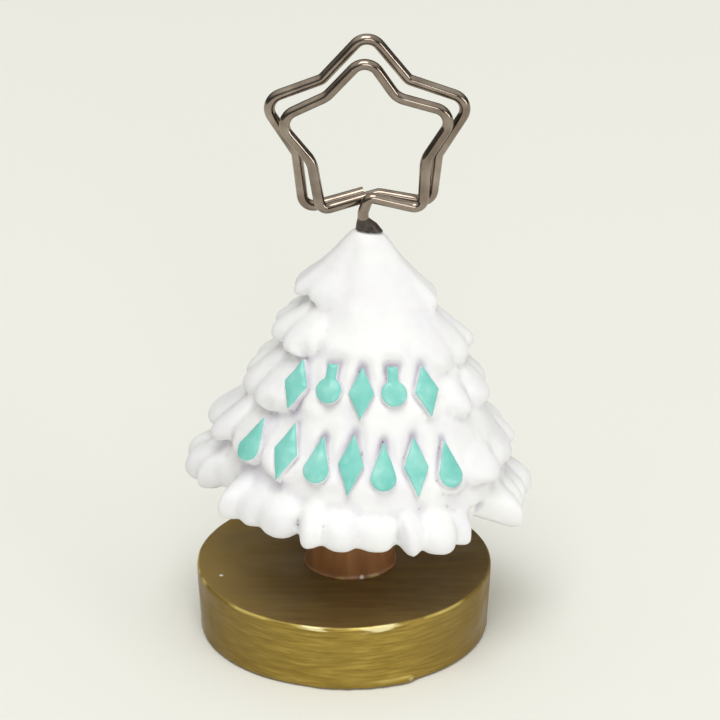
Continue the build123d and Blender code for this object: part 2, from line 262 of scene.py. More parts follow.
def makeTurquoisePaint():
    s = turquoiseSettings
    material, tree, spots = newMaterial("turquoiseAcrylic")
    face = addNode(tree, "ShaderNodeAttribute", attribute_name="face").outputs["Fac"]
    fleck, pool = [addNode(tree, "ShaderNodeTexNoise", {
        "Vector": spots, "Scale": perMm(size), "Detail": detail}) for size, detail in s["noises"]]
    ragged = addNode(tree, "ShaderNodeMath", {
        0: fleck, 1: s["fleckShare"], 2: face}, operation="MULTIPLY_ADD")
    cover = addNode(tree, "ShaderNodeValToRGB", {0: ragged}, stops=s["cover"])
    turquoise, white = [addNode(tree, "ShaderNodeValToRGB", {0: pool}, stops=s[name])
                        for name in ("turquoise", "white")]
    paint = addNode(tree, "ShaderNodeMix", {0: cover, 6: white, 7: turquoise}, data_type="RGBA")
    return finishMaterial(material, s, fleck, {"Base Color": paint, "Roughness": s["roughness"]})


# Nickel plate on drawn spring wire, warm with age: a mirror along it, with faint die lines and dull patches
nickelSettings = {
    "plate": [(0.3, "#7F7267"), (0.55, "#96897D"), (0.8, "#A99D92")], "cloudSize": 3.0,
    "dieLine": (0.02, 3.0, 1.0),  # along the wire, then round it: long thin lines
    "roughness": (0.3, 0.7, 0.1, 0.18),  # range of the noise, then of the roughness
    "bump": 0.025, "bumpHeight": 0.02,
}


def makeNickelPlate():
    s = nickelSettings
    material, tree, spots = newMaterial("agedNickelPlate")
    along = addNode(tree, "ShaderNodeAttribute", attribute_name="wireMap").outputs["Vector"]
    drawn = addNode(tree, "ShaderNodeMapping", {"Vector": along, "Scale": s["dieLine"]})
    dieLine = addNode(tree, "ShaderNodeTexNoise", {"Vector": drawn, "Scale": 4.0, "Detail": 3.0})
    cloud = addNode(tree, "ShaderNodeTexNoise", {
        "Vector": spots, "Scale": perMm(s["cloudSize"]), "Detail": 3.0})
    plate = addNode(tree, "ShaderNodeValToRGB", {0: cloud}, stops=s["plate"])
    dull = addNode(tree, "ShaderNodeMapRange", dict(enumerate([cloud, *s["roughness"]])))
    return finishMaterial(material, s, dieLine, {"Base Color": plate, "Roughness": dull, "Metallic": 1.0})


# Epoxy glue, tinted dark, set in a lump: glossy, with dust in its skin
epoxySettings = {
    "body": [(0.35, "#2C251F"), (0.6, "#463C33"), (0.8, "#6A5D50")], "dustSize": 0.8,
    "roughness": (0.3, 0.7, 0.22, 0.45),  # range of the noise, then of the roughness
    "bump": 0.4, "bumpHeight": 0.08,
}


def makeDarkGlue():
    s = epoxySettings
    material, tree, spots = newMaterial("setDarkEpoxy")
    dust = addNode(tree, "ShaderNodeTexNoise", {
        "Vector": spots, "Scale": perMm(s["dustSize"]), "Detail": 4.0})
    body = addNode(tree, "ShaderNodeValToRGB", {0: dust}, stops=s["body"])
    dull = addNode(tree, "ShaderNodeMapRange", dict(enumerate([dust, *s["roughness"]])))
    return finishMaterial(material, s, dust, {"Base Color": body, "Roughness": dull})


# Pressed wool felt: matt and fuzzy, fibres drawn coarser than life so that they show
feltSettings = {
    "wool": [(0.3, "#1D1C1C"), (0.7, "#3A3837")], "fibreSize": 0.6,
    "roughness": 0.95, "sheen": 0.3, "bump": 0.8, "bumpHeight": 0.15,
}


def makeFelt():
    s = feltSettings
    material, tree, spots = newMaterial("pressedFelt")
    fibre = addNode(tree, "ShaderNodeTexNoise", {
        "Vector": spots, "Scale": perMm(s["fibreSize"]), "Detail": 6.0, "Distortion": 1.5})
    wool = addNode(tree, "ShaderNodeValToRGB", {0: fibre}, stops=s["wool"])
    return finishMaterial(material, s, fibre, {
        "Base Color": wool, "Roughness": s["roughness"], "Sheen Weight": s["sheen"]})


snowPaint = makeSnowPaint()
goldPaint = makeGoldPaint()
trunkPaint = makeTrunkPaint()
turquoisePaint = makeTurquoisePaint()
nickelPlate = makeNickelPlate()
darkGlue = makeDarkGlue()
felt = makeFelt()
print("materials made")


def addPiece(name, mesh):
    piece = bpy.data.objects.new(name, mesh)
    bpy.context.scene.collection.objects.link(piece)
    return piece


def newNodes(name, inputs):  # a node group with named inputs, and its input node's outputs
    group = bpy.data.node_groups.new(name, "GeometryNodeTree")
    for label, kind in inputs:
        group.interface.new_socket(label, in_out="INPUT", socket_type="NodeSocket" + kind)
    group.interface.new_socket("Geometry", in_out="OUTPUT", socket_type="NodeSocketGeometry")
    return group, group.nodes.new("NodeGroupInput").outputs


def setInputs(piece, group, values):  # adds the group as a modifier, with its inputs set by identifier
    modifier = piece.modifiers.new(group.name, "NODES")
    modifier.node_group = group
    for item in group.interface.items_tree:
        if item.in_out == "INPUT" and item.name in values:
            modifier[item.identifier] = values[item.name]


def keepResult(piece):  # the evaluated result becomes the piece's own plain mesh
    depsgraph = bpy.context.evaluated_depsgraph_get()
    result = bpy.data.meshes.new_from_object(piece.evaluated_get(depsgraph))
    piece.modifiers.clear()
    piece.data = result


def meltPiece(piece, voxel, soften):  # remeshes a piece into one even skin, and rounds its edges
    melt = piece.modifiers.new("melt", "REMESH")
    melt.mode = "VOXEL"
    melt.voxel_size = voxel * mm
    if soften:
        piece.modifiers.new("soften", "SMOOTH").iterations = soften
    keepResult(piece)


def copyNode(node):  # a merged copy of a node's loose triangles
    mesh = bmesh.new()
    mesh.from_mesh(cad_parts[node].data)
    bmesh.ops.remove_doubles(mesh, verts=mesh.verts, dist=0.002 * mm)
    return mesh


def meltNode(name, node, voxel, soften):  # a new piece in a node's own shape, with soft edges
    mesh = copyNode(node)
    data = bpy.data.meshes.new(name)
    mesh.to_mesh(data)
    mesh.free()
    piece = addPiece(name, data)
    meltPiece(piece, voxel, soften)
    return piece


# Tree: every tier is a lobed skirt, then all are melted together and softened as a casting is
treeSettings = {
    "baseTop": 11.1, "offset": 1.0, "lean": math.radians(2.85), "height": 56.9, "reach": 28.0, "crown": 2.4,
    "backShare": 0.84, "lip": 1.5, "roll": 0.9, "undercut": 4.0, "undercutRise": 3.6, "overlap": 1.6,
    "shoulderRise": 0.42, "neckShare": 0.5, "notch": 2.0, "notchRise": 0.6, "cleft": 3.9, "cleftRise": 2.0,
    "arch": 0.5, "wander": 0.2, "wanderPhase": 2.3, "swell": 0.04, "swellPhase": 1.9,
    "gaps": (-65, 55), "gapWidth": 12.5, "gapRise": 0.3,
    "rows": 56, "columnsPerLobe": 12, "voxel": 0.44, "softening": 4, "lumpHeight": 0.16, "lumpSize": 4.0,
    "lumpSwing": (0.25, 0.75, -1.0, 0.4),  # range of the noise, then of the lumps
    "coreFront": 0.92, "coreRight": 2.4, "coreInset": 0.3, "coreTop": 1.2,
    "coreSpread": 1.0, "coreLeast": 0.57, "coreSides": 96,
    "socketRadius": 7.28, "socketDepth": 8.0, "boreLength": 40, "boreSides": 64,
    "hollowDepth": 0.5, "hollowSpread": 14,
    "ornamentStep": 1.25, "ornamentSlope": 0.85, "ornamentReach": 2.6, "ornamentShade": 0.9,
    "ornamentDepth": 5, "ornamentRoom": 9, "ornamentForward": -0.3, "ornamentUp": 0.4,
}
# a tier's rim and reach are shares of the tree's, turn is the direction of one cleft,
# gap the depth of the wide gaps
tierSettings = [
    {"rim": 0.800, "fat": 0.0, "reach": 0.414, "front": 0.50, "relief": 0.6, "shift": 0.0, "tilt": 5.6,
     "boughs": 5, "lobes": 2, "turn": 18, "gap": 0.0},
    {"rim": 0.665, "fat": 0.1, "reach": 0.580, "front": 0.70, "relief": 0.8, "shift": 1.4, "tilt": 6.2,
     "boughs": 6, "lobes": 2, "turn": -32, "gap": 0.0},
    {"rim": 0.531, "fat": 0.2, "reach": 0.712, "front": 0.74, "relief": 1.0, "shift": 1.0, "tilt": 2.0,
     "boughs": 7, "lobes": 2, "turn": 12, "gap": 0.0},
    {"rim": 0.368, "fat": 0.3, "reach": 0.872, "front": 0.80, "relief": 1.0, "shift": 1.1, "tilt": 5.2,
     "boughs": 8, "lobes": 2, "turn": -22, "gap": 0.0},
    {"rim": 0.215, "fat": 1.3, "reach": 0.972, "front": 0.86, "relief": 1.0, "shift": 0.7, "tilt": 5.6,
     "boughs": 10, "lobes": 3, "turn": -24, "gap": 5.0},
]


def makeTierNodes():
    s = treeSettings
    group, given = newNodes("snowTier", [
        ("Profile", "Object"), ("Columns", "Int"), ("Rows", "Int"), ("Boughs", "Float"), ("Lobes", "Float"),
        ("Turn", "Float"), ("Front Share", "Float"), ("Relief", "Float"), ("Shift", "Float"),
        ("Tilt", "Float"), ("Gap", "Float")])
    grid = addNode(group, "GeometryNodeMeshGrid", {
        "Size X": 1.0, "Size Y": 1.0, "Vertices X": given["Columns"], "Vertices Y": given["Rows"]})
    place = addNode(group, "ShaderNodeSeparateXYZ", {0: addNode(group, "GeometryNodeInputPosition")})
    around = addNode(group, "ShaderNodeMath", {0: place.outputs["X"], 1: 0.5}, operation="ADD")
    down = addNode(group, "ShaderNodeMath", {
        0: place.outputs["Y"], 1: 0.5}, operation="ADD", use_clamp=True)
    # the profile gives each row's reach and height, and its point radius how deep the lobes are there
    drawn = addNode(group, "GeometryNodeObjectInfo", {"Object": given["Profile"]}).outputs["Geometry"]
    sample = addNode(group, "GeometryNodeSampleCurve", {
        "Curves": drawn, "Value": addNode(group, "GeometryNodeInputRadius"), "Factor": down},
        mode="FACTOR", data_type="FLOAT")
    row = addNode(group, "ShaderNodeSeparateXYZ", {0: sample.outputs["Position"]}).outputs
    made = {socket.name: socket for socket in given}
    made.update(around=around, lobing=sample.outputs["Value"], rowReach=row["X"], rowHeight=row["Z"], gap=0.0)
    # the tier's formula, one node to a row: its name, what it does, and the names or numbers that it takes
    steps = [
        ("deep", "MULTIPLY", "lobing", "Relief"),
        # which lobe, and how far across it
        ("count", "MULTIPLY", "Boughs", "Lobes"), ("spot", "MULTIPLY", "around", "count"),
        ("whole", "FLOOR", "spot"), ("share", "FRACT", "spot"), ("after", "ADD", "whole", 1.0)]
    for end, valley in (("first", "whole"), ("last", "after")):
        steps += [
            ("k", "FLOORED_MODULO", valley, "count"),
            ("phase", "MULTIPLY_ADD", "k", s["wanderPhase"], "Turn"),
            (end + "Wander", "SINE", "phase"), ("inBough", "FLOORED_MODULO", "k", "Lobes"),
            (end + "Cleft", "COMPARE", "inBough", 0.0, 0.1)]
    steps += [
        ("wander", "MIX", "share", "firstWander", "lastWander"),
        ("cleft", "MIX", "share", "firstCleft", "lastCleft"), ("half", "MULTIPLY", "share", math.pi),
        ("wave", "SINE", "half"), ("bow", "MAXIMUM", "wave", 0.0), ("arch", "POWER", "bow", s["arch"]),
        # where each column stands round the axis, and the wide gaps that set the front boughs apart
        ("pitch", "DIVIDE", 2 * math.pi, "count"), ("strayed", "MULTIPLY_ADD", "wander", s["wander"], "spot"),
        ("start", "RADIANS", "Turn"), ("angle", "MULTIPLY_ADD", "strayed", "pitch", "start")]
    gapEdge = math.cos(math.radians(s["gapWidth"]))
    for middle in s["gaps"]:
        steps += [
            ("off", "SUBTRACT", "angle", math.radians(middle)), ("close", "COSINE", "off"),
            ("dip", "RANGE", "close", gapEdge, 1.0), ("gap", "ADD", "dip", "gap")]
    steps += [
        ("gapDepth", "MULTIPLY", "gap", "Gap"), ("gapHere", "MULTIPLY", "gapDepth", "lobing"),
        # valleys are drawn in and up, crests swell by a few hundredths
        ("notch", "RANGE", "cleft", 0.0, 1.0, s["notch"], s["cleft"]),
        ("lift", "RANGE", "cleft", 0.0, 1.0, s["notchRise"], s["cleftRise"]),
        ("inward", "MULTIPLY", "notch", "deep"), ("floor", "SUBTRACT", "rowReach", "inward"),
        ("inside", "MAXIMUM", "floor", 0.0), ("swellPhase", "MULTIPLY_ADD", "whole", s["swellPhase"], "Turn"),
        ("swell", "SINE", "swellPhase"), ("swellShare", "MULTIPLY", "swell", s["swell"]),
        ("swellHere", "MULTIPLY_ADD", "swellShare", "lobing", 1.0),
        ("crest", "MULTIPLY", "rowReach", "swellHere"),
        ("lobed", "MIX", "arch", "inside", "crest"), ("reach", "SUBTRACT", "lobed", "gapHere"),
        ("upward", "MULTIPLY", "lift", "deep"), ("rise", "MIX", "arch", "upward", 0.0),
        ("raised", "MULTIPLY_ADD", "gapHere", s["gapRise"], "rise"), ("height", "ADD", "rowHeight", "raised"),
        # round the axis, with its own reach in front, then tilted and leaned
        ("sine", "SINE", "angle"), ("cosine", "COSINE", "angle"), ("inFront", "GREATER_THAN", "cosine", 0.0),
        ("depth", "MIX", "inFront", s["backShare"], "Front Share"), ("across", "MULTIPLY", "reach", "sine"),
        ("outward", "MULTIPLY", "reach", "cosine"), ("forward", "MULTIPLY", "outward", "depth"),
        ("backward", "MULTIPLY", "forward", -1.0), ("tilt", "RADIANS", "Tilt"),
        ("tiltCosine", "COSINE", "tilt"), ("level", "MULTIPLY", "across", "tiltCosine"),
        ("tiltSine", "SINE", "tilt"), ("fall", "MULTIPLY", "across", "tiltSine"),
        ("middle", "ADD", "Shift", s["offset"]),
        ("axisX", "MULTIPLY_ADD", "height", math.sin(s["lean"]), "middle"),
        ("axisZ", "MULTIPLY_ADD", "height", math.cos(s["lean"]), s["baseTop"]),
        ("x", "ADD", "axisX", "level"), ("z", "SUBTRACT", "axisZ", "fall")]
    kinds = {"MIX": ("ShaderNodeMix", (0, 2, 3)), "RANGE": ("ShaderNodeMapRange", range(5))}
    for name, what, *values in steps:
        kind, slots = kinds.get(what, ("ShaderNodeMath", range(3)))
        taken = {slot: made.get(value, value) for slot, value in zip(slots, values)}
        made[name] = addNode(group, kind, taken, **({} if what in kinds else {"operation": what}))
    point = addNode(group, "ShaderNodeCombineXYZ", {0: made["x"], 1: made["backward"], 2: made["z"]})
    scaled = addNode(group, "ShaderNodeVectorMath", {0: point, "Scale": mm}, operation="SCALE")
    moved = addNode(group, "GeometryNodeSetPosition", {"Geometry": grid, "Position": scaled})
    closed = addNode(group, "GeometryNodeMergeByDistance", {"Geometry": moved, "Distance": 0.01 * mm})
    addNode(group, "NodeGroupOutput", {0: closed})
    return group


def makeProfile(points):  # a tier's section in millimetres; a point's radius is the lobes' depth there
    data = bpy.data.curves.new("tierProfile", "CURVE")
    data.dimensions = "3D"
    spline = data.splines.new("NURBS")
    spline.points.add(len(points) - 1)
    for point, (reach, height, deep) in zip(spline.points, points):
        point.co = (reach, 0, height, 1)
        point.radius = deep
    spline.order_u = 3
    spline.use_endpoint_u = True
    spline.resolution_u = 16
    return addPiece("tierProfile", data)


def addCore(mesh):  # plain cone behind the tiers, which fills the front where they run together
    s = treeSettings
    top = s["crown"] - s["coreInset"]
    levels = [(tierSettings[0], s["height"] - s["coreTop"], top, top)]
    for tier in tierSettings[:-1]:
        front = max(tier["front"], s["coreLeast"]) * tier["reach"] * s["reach"] - s["coreInset"]
        right = max(front / s["coreFront"], tier["reach"] * s["reach"] - s["coreRight"])
        levels.append((tier, tier["rim"] * s["height"] + s["lip"], front, right))
    low = tierSettings[-1]
    foot = low["rim"] * s["height"] + s["undercutRise"] + s["overlap"]
    levels.append((low, foot, front + s["coreSpread"], right + s["coreSpread"]))
    rings = []
    for tier, height, front, right in levels:
        tilt = math.radians(tier["tilt"])
        ring = []
        for k in range(s["coreSides"]):
            angle = 2 * math.pi * k / s["coreSides"]
            side = (right if math.sin(angle) > 0 else front / s["coreFront"]) * math.sin(angle)
            flatter = 1 if math.cos(angle) > 0 else s["backShare"] / s["coreFront"]
            x = s["offset"] + tier["shift"] + height * math.sin(s["lean"]) + side * math.cos(tilt)
            z = s["baseTop"] + height * math.cos(s["lean"]) - side * math.sin(tilt)
            ring.append(mesh.verts.new((x * mm, -front * math.cos(angle) * flatter * mm, z * mm)))
        rings.append(ring)
    for upper, lower in zip(rings, rings[1:]):
        for k in range(s["coreSides"]):
            mesh.faces.new((upper[k - 1], upper[k], lower[k], lower[k - 1]))
    mesh.faces.new(rings[0])
    mesh.faces.new(rings[-1])


def makeTiers():
    s = treeSettings
    group = makeTierNodes()
    together = bmesh.new()
    topHeight, topReach = s["height"], s["crown"]
    for tier in tierSettings:
        rim, reach, fat = tier["rim"] * s["height"], tier["reach"] * s["reach"], tier["fat"]
        lip, ceiling = rim + s["lip"], rim + s["undercutRise"]
        under = reach - s["roll"] - s["undercut"]
        shoulder = lip + s["shoulderRise"] * (topHeight - lip)
        neck = topReach + s["neckShare"] * (reach - topReach)
        profile = makeProfile([
            (0, topHeight, 0), (topReach, topHeight, 0), (topReach, topHeight, 0), (neck, shoulder, 0.5),
            # the rim: over the lip, round its edge and back under it
            (reach - 1.7 + 0.6 * fat, lip + 1.7 + fat, 0.9), (reach + 0.12, lip + 0.1 + fat, 1),
            (reach + 0.08, rim - 0.1, 1), (reach - 1.5 - fat, rim - 0.15, 1),
            (reach - 3.0 - fat, rim + 1.3, 0.8),
            (under, ceiling, 0.3), (0.5 * under, ceiling, 0), (0, ceiling, 0)])
        columns = tier["boughs"] * tier["lobes"] * s["columnsPerLobe"] + 1
        piece = addPiece("tier", bpy.data.meshes.new("tier"))
        setInputs(piece, group, {
            "Profile": profile, "Columns": columns, "Rows": s["rows"], "Boughs": float(tier["boughs"]),
            "Lobes": float(tier["lobes"]), "Turn": float(tier["turn"]), "Front Share": tier["front"],
            "Relief": tier["relief"], "Shift": tier["shift"], "Tilt": tier["tilt"], "Gap": tier["gap"]})
        keepResult(piece)
        together.from_mesh(piece.data)
        for spent in (piece, profile):
            bpy.data.objects.remove(spent)
        topHeight, topReach = ceiling + s["overlap"], under - s["overlap"]
    addCore(together)
    bmesh.ops.recalc_face_normals(together, faces=together.faces)
    mesh = bpy.data.meshes.new("snowTree")
    together.to_mesh(mesh)
    together.free()
    return mesh


def makeSnowNodes():
    s = treeSettings
    group, given = newNodes("snowSkin", [
        ("Geometry", "Geometry"), ("Softening", "Int"), ("Lump Height", "Float"), ("Lump Size", "Float"),
        ("Socket Radius", "Float"), ("Socket Top", "Float"), ("Paint", "Material")])
    position = addNode(group, "GeometryNodeInputPosition")
    soft = addNode(group, "GeometryNodeBlurAttribute", {
        "Value": position, "Iterations": given["Softening"]}, data_type="FLOAT_VECTOR")
    softened = addNode(group, "GeometryNodeSetPosition", {"Geometry": given["Geometry"], "Position": soft})
    # lumps of a hand-worked pattern, mostly pressed in
    lumpScale = addNode(group, "ShaderNodeMath", {0: 1.0, 1: given["Lump Size"]}, operation="DIVIDE")
    lumps = addNode(group, "ShaderNodeTexNoise", {"Vector": position, "Scale": lumpScale, "Detail": 2.0})
    swing = addNode(group, "ShaderNodeMapRange", dict(enumerate([lumps, *s["lumpSwing"]])))
    lift = addNode(group, "ShaderNodeMath", {0: swing, 1: given["Lump Height"]}, operation="MULTIPLY")
    normal = addNode(group, "GeometryNodeInputNormal")
    push = addNode(group, "ShaderNodeVectorMath", {0: normal, "Scale": lift}, operation="SCALE")
    lumpy = addNode(group, "GeometryNodeSetPosition", {"Geometry": softened, "Offset": push})
    # hollow: how far the surface lies below the mean of its surroundings, 1 at the hollow depth
    mean = addNode(group, "GeometryNodeBlurAttribute", {
        "Value": position, "Iterations": s["hollowSpread"]}, data_type="FLOAT_VECTOR")
    gap = addNode(group, "ShaderNodeVectorMath", {0: mean, 1: position}, operation="SUBTRACT")
    below = addNode(group, "ShaderNodeVectorMath", {0: gap, 1: normal}, operation="DOT_PRODUCT")
    shade = addNode(group, "ShaderNodeMath", {0: below, 1: perMm(s["hollowDepth"])}, operation="MULTIPLY")
    marked = addNode(group, "GeometryNodeStoreNamedAttribute", {
        "Geometry": lumpy, "Name": "hollow", "Value": shade}, data_type="FLOAT", domain="POINT")
    # socket for the trunk, bored from below
    bore = addNode(group, "GeometryNodeMeshCylinder", {
        "Vertices": s["boreSides"], "Radius": given["Socket Radius"], "Depth": s["boreLength"] * mm})
    boreMiddle = addNode(group, "ShaderNodeMath", {
        0: given["Socket Top"], 1: s["boreLength"] / 2 * mm}, operation="SUBTRACT")
    boreAt = addNode(group, "ShaderNodeCombineXYZ", {0: s["offset"] * mm, 1: 0.0, 2: boreMiddle})
    socket = addNode(group, "GeometryNodeTransform", {"Geometry": bore, "Translation": boreAt})
    bored = addNode(group, "GeometryNodeMeshBoolean", {
        "Mesh 1": marked, "Mesh 2": socket}, operation="DIFFERENCE", solver="EXACT")
    smooth = addNode(group, "GeometryNodeSetShadeSmooth", {0: bored})
    whole = addNode(group, "GeometryNodeRealizeInstances", {0: smooth})
    painted = addNode(group, "GeometryNodeSetMaterial", {"Geometry": whole, "Material": given["Paint"]})
    addNode(group, "NodeGroupOutput", {0: painted})
    return group


def ornamentFaces(node):  # each ornament's place and axes, and its face's triangles and edges on their plane
    s = treeSettings
    mesh = copyNode(node)
    # a dictionary keeps the mesh's own order, so that every run gives the same result
    fronts = dict.fromkeys(f for f in mesh.faces
                           if f.normal.y < s["ornamentForward"] and f.normal.z > s["ornamentUp"])
    found = []
    while fronts:
        heap = [fronts.popitem()[0]]
        island = []
        while heap:
            face = heap.pop()
            island.append(face)
            for other in [f for v in face.verts for f in v.link_faces]:
                if other in fronts:
                    del fronts[other]
                    heap.append(other)
        out = island[0].normal.copy()
        across = Vector((0, 0, 1)).cross(out).normalized()
        frameAxes = np.array([across, out.cross(across), out])
        origin = np.array(sum((f.calc_center_median() for f in island), Vector()) / len(island))
        flat = [[frameAxes[:2] @ (np.array(v.co) - origin) for v in f.verts] for f in island]
        rims = [e for f in island for e in f.edges if sum(g in island for g in e.link_faces) == 1]
        edges = [[frameAxes[:2] @ (np.array(v.co) - origin) for v in e.verts] for e in rims]
        found.append((origin, frameAxes, np.array(flat), np.array(edges)))
    mesh.free()
    return found


def edgeDistance(spots, edges):  # from points on a plane to the nearest of some line pieces
    best = np.full(len(spots), np.inf)
    for start, end in edges:
        way = end - start
        share = np.clip((spots - start) @ way / (way @ way), 0, 1)
        best = np.minimum(best, np.linalg.norm(spots - start - share[:, None] * way, axis=1))
    return best


def insideFace(spots, triangles):
    inside = np.zeros(len(spots), bool)
    for a, b, c in triangles:
        turns = [np.cross(q - p, spots - p) for p, q in ((a, b), (b, c), (c, a))]
        inside |= (np.min(turns, axis=0) >= 0) | (np.max(turns, axis=0) <= 0)
    return inside


def readPoints(mesh):
    points = np.empty(len(mesh.vertices) * 3, np.float32)
    mesh.vertices.foreach_get("co", points)
    return points.reshape(-1, 3).astype(float)


def stepBack(mesh):  # the snow steps back round every ornament, so that they stand up from it
    s = treeSettings
    points = readPoints(mesh)
    near = np.zeros(len(points))
    ornaments = ornamentFaces("ornaments_upper") + ornamentFaces("ornaments_lower")
    for origin, frameAxes, triangles, edges in ornaments:
        local = (points - origin) @ frameAxes.T
        aside = np.linalg.norm(local[:, :2], axis=1)
        level = np.abs(local[:, 2]) < s["ornamentDepth"] * mm
        close = np.where(level & (aside < s["ornamentRoom"] * mm))[0]
        spots = local[close, :2]
        away = np.where(insideFace(spots, triangles), 0, edgeDistance(spots, edges))
        most = -s["ornamentStep"] * mm + s["ornamentSlope"] * away
        over = np.where(away < s["ornamentReach"] * mm, np.maximum(local[close, 2] - most, 0), 0)
        points[close] -= over[:, None] * frameAxes[2]
        near[close] = np.maximum(near[close], np.exp(-away / (s["ornamentShade"] * mm)))
    mesh.vertices.foreach_set("co", points.ravel())
    mesh.attributes.new("near", "FLOAT", "POINT").data.foreach_set("value", near)


def makeTree():
    s = treeSettings
    piece = addPiece("snowTree", makeTiers())
    meltPiece(piece, s["voxel"], 0)
    stepBack(piece.data)
    socketTop = s["baseTop"] + tierSettings[-1]["rim"] * s["height"] + s["undercutRise"] + s["socketDepth"]
    setInputs(piece, makeSnowNodes(), {
        "Softening": s["softening"], "Lump Height": s["lumpHeight"] * mm, "Lump Size": s["lumpSize"] * mm,
        "Socket Radius": s["socketRadius"] * mm, "Socket Top": socketTop * mm, "Paint": snowPaint})
    keepResult(piece)
    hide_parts("tree")
    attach(piece, "stand")
    print("tree:", len(piece.data.polygons), "faces")


makeTree()

# Foot and trunk: turned sections with the unevenness of a hand-finished casting
footSettings = {
    "radius": 23.5, "draft": 0.5, "top": 11.1, "low": 0.2, "edge": 0.55, "heel": 0.3, "padRadius": 20.58,
    "padTop": 1.0, "padRim": 0.5, "segments": 240, "topRings": 24, "edgeSteps": 6, "sideRings": 18,
    # unevenness: its depth in millimetres, and its waves round the foot and up the wall, broad and fine
    "waver": 0.1, "waverMean": 0.55, "broad": (2.2, 0.22), "fine": (6, 0.5), "fineShare": 0.5,
    "dip": 0.09, "dipMean": 0.6, "dipWaves": 0.16,
    # thin flash of the mould at the toe, a ragged tongue between two directions in degrees
    "flashFrom": -16, "flashTo": 31, "flashReach": 0.95, "flashDepth": 0.4, "flashTop": 1.0,
    "flashHeight": 0.45, "flashHalf": 0.5, "flashLeast": 0.45, "flashRise": 6, "flashFall": 9,
    "flashMean": 0.8, "flashRagged": 0.4, "flashTeeth": 0.35,
}
trunkSettings = {
    "offset": 1.0, "radius": 7.2, "flare": 0.25, "flareFoot": 0.15, "flareHeight": 0.7, "flareSteps": 8,
    "foot": 11.05, "plainFrom": 12.2, "top": 34.0, "rings": 24, "segments": 120,
    "waver": 0.16, "waverMean": 0.5, "waves": (3, 0.08),
}


def turn(name, section, segments, shift, centre=0.0):  # revolves (reach, height) points, moved by shift
    mesh = bmesh.new()
    rings = []
    for reach, height in section:
        if reach < 1e-6:
            rings.append([mesh.verts.new((centre * mm, 0, height * mm))])
            continue
        ring = []
        for k in range(segments):
            angle = 2 * math.pi * k / segments
            r, z = shift(angle, reach, height)
            x, y = centre + r * math.sin(angle), -r * math.cos(angle)
            ring.append(mesh.verts.new((x * mm, y * mm, z * mm)))
        rings.append(ring)
    for upper, lower in zip(rings, rings[1:]):
        for k in range(segments):
            if len(upper) == 1:
                corners = [upper[0], lower[k], lower[k - 1]]
            elif len(lower) == 1:
                corners = [upper[k - 1], upper[k], lower[0]]
            else:
                corners = [upper[k - 1], upper[k], lower[k], lower[k - 1]]
            mesh.faces.new(corners)
    bmesh.ops.recalc_face_normals(mesh, faces=mesh.faces)
    for face in mesh.faces:
        face.smooth = True
    data = bpy.data.meshes.new(name)
    mesh.to_mesh(data)
    mesh.free()
    return addPiece(name, data)


def footFlash(degree, height):  # how far the tongue of flash sticks out
    s = footSettings
    share = (degree - s["flashFrom"]) / (s["flashTo"] - s["flashFrom"])
    ragged = s["flashMean"] + s["flashRagged"] * noise.noise(Vector((degree * s["flashTeeth"], 0, 0)))
    tongue = min(1, s["flashRise"] * share, s["flashFall"] * (1 - share))
    tongue *= s["flashLeast"] + (1 - s["flashLeast"]) * share
    tongue *= ragged
    return s["flashReach"] * tongue * max(0, 1 - abs(height - s["flashHeight"]) / s["flashHalf"])


def makeFoot():
    s = footSettings
    side, shoulder = s["radius"] - s["draft"], s["top"] - s["edge"]
    section = [(0, s["top"])]
    section += [(r, s["top"]) for r in np.linspace(2, s["radius"] - s["edge"], s["topRings"])]
    for step in range(1, s["edgeSteps"] + 1):  # rounded top edge
        a = math.pi / 2 * step / s["edgeSteps"]
        section.append((s["radius"] - s["edge"] * (1 - math.sin(a)),
                        s["top"] - s["edge"] * (1 - math.cos(a))))
    for share in np.linspace(0, 1, s["sideRings"])[1:]:
        section.append((s["radius"] - s["draft"] * share,
                        shoulder - share * (shoulder - s["low"] - s["heel"])))
    section += [(side - 0.08, s["low"] + 0.1), (side - s["heel"], s["low"]), (s["padRadius"], s["low"]),
                (s["padRadius"], s["padTop"]), (0, s["padTop"])]

    def shift(angle, reach, height):
        sine, cosine = math.sin(angle), math.cos(angle)
        way = Vector((sine, cosine, 0))
        out, up = reach, height
        if reach > s["padRadius"] + s["padRim"]:
            turns, rise = s["broad"]
            bump = noise.noise(way * turns + Vector((0, 0, height * rise)))
            turns, rise = s["fine"]
            bump += s["fineShare"] * noise.noise(way * turns + Vector((3, 0, height * rise)))
            out = reach - s["waver"] * (s["waverMean"] + s["waverMean"] * bump)
        if height > shoulder - 0.01:
            spot = Vector((reach * sine * s["dipWaves"], reach * cosine * s["dipWaves"], 7))
            up = height - s["dip"] * (s["dipMean"] + noise.noise(spot))
        degree = math.degrees((angle + math.pi) % (2 * math.pi) - math.pi)
        atToe = reach > side - s["flashDepth"] and height < s["low"] + s["flashTop"]
        if atToe and s["flashFrom"] < degree < s["flashTo"]:
            out += footFlash(degree, height)
        return out, up

    piece = turn("goldFoot", section, s["segments"], shift)
    piece.data.materials.append(goldPaint)
    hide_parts("base_disc")
    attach(piece, "stand")


